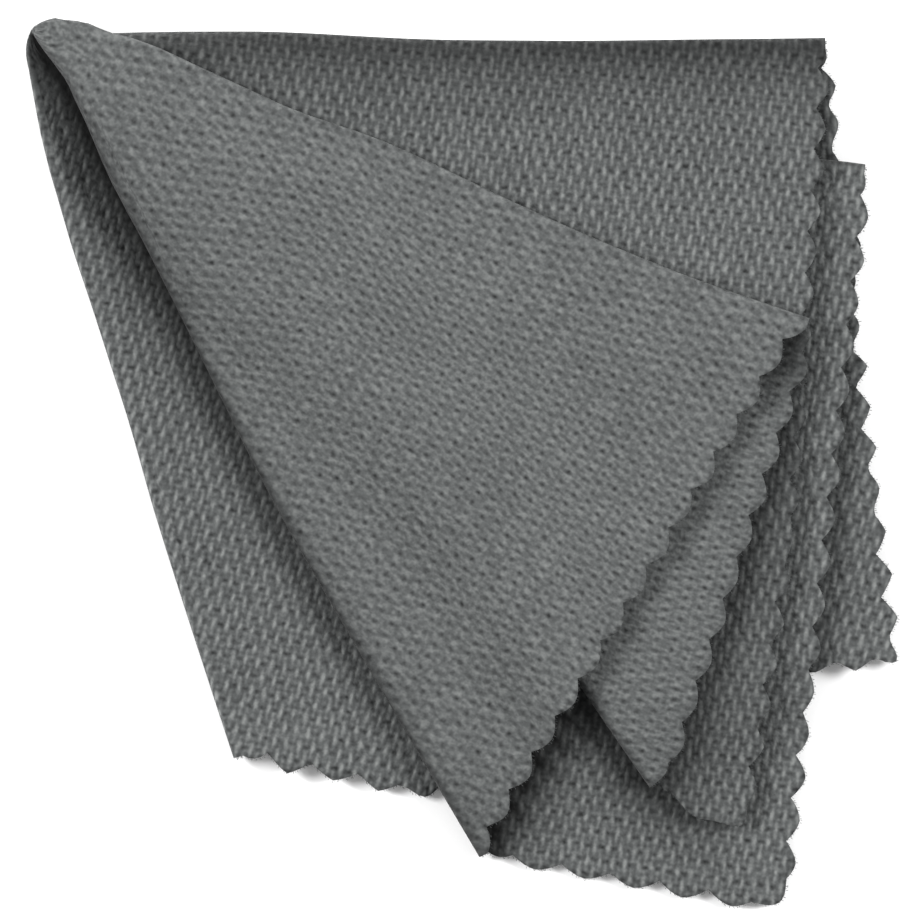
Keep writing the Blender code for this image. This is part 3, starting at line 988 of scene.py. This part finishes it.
def white_board():
    """Matt white painted board for the floor."""
    material = bpy.data.materials.new("white_painted_board")
    material.use_nodes = True
    shader = material.node_tree.nodes["Principled BSDF"]
    shader.inputs["Base Color"].default_value = linear(BOARD_WHITE)
    shader.inputs["Roughness"].default_value = BOARD_ROUGHNESS
    return material


bpy.ops.mesh.primitive_plane_add(size=BOARD_SIDE, location=(0, 0, 0))
floor = bpy.context.object
floor.name = "floor"
floor.data.materials.append(white_board())
print("floor's side, m:", BOARD_SIDE)

# %% [markdown]
# ## The light
#
# Two soft lamps, to the left and the right and a little towards the top edge, and an
# even pale sky give the flat light of a product shot, in which only the gaps between
# the layers go dark. The Standard view keeps the white of the floor clean.

# %% Light
SKY = 0.50
LAMP_SIDE = 0.26
LAMPS = {"right": ((0.56, 0.14, 0.50), 5.8), "left": ((-0.56, 0.14, 0.50), 6.0)}

world = bpy.data.worlds.new("pale_sky")
world.use_nodes = True
world.node_tree.nodes["Background"].inputs[0].default_value = (1.0, 1.0, 1.0, 1.0)
world.node_tree.nodes["Background"].inputs[1].default_value = SKY
bpy.context.scene.world = world
bpy.context.scene.view_settings.view_transform = "Standard"


def area_lamp(name, place, power):
    """A square lamp that looks at the middle of the cloth."""
    data = bpy.data.lights.new(name, "AREA")
    data.size, data.energy = LAMP_SIDE, power
    lamp = bpy.data.objects.new(name, data)
    lamp.location = place
    lamp.rotation_euler = lamp.location.to_track_quat("Z", "Y").to_euler()
    bpy.context.scene.collection.objects.link(lamp)


for name, (place, power) in LAMPS.items():
    area_lamp(name, place, power)
print("lamps, W:", {name: power for name, (_, power) in LAMPS.items()})

# %% [markdown]
# ## The camera
#
# The photograph is taken from straight above. The camera has a long lens, so that the
# upper layers are hardly larger than the lower ones, and stands at the height where its
# picture covers the photograph's 920 pixels of 0.112 mm.

# %% Camera
PIXELS, PIXEL = 920, 0.112 * MM
LENS, SENSOR = 300.0, 36.0
SIGHT_LEVEL = 0.004                     # height that the picture's scale holds for
LOOKS_AT = (-0.00037, 0.00040)          # middle of the picture in the frame
CLIP_START = 0.05
camera_data = bpy.data.cameras.new("camera")
camera_data.lens, camera_data.sensor_width = LENS, SENSOR
camera_data.clip_start = CLIP_START
camera = bpy.data.objects.new("camera", camera_data)
camera.location = (*LOOKS_AT, SIGHT_LEVEL + PIXELS * PIXEL * LENS / SENSOR)
bpy.context.scene.collection.objects.link(camera)
bpy.context.scene.camera = camera
print("camera's height, m:", round(camera.location.z, 3))
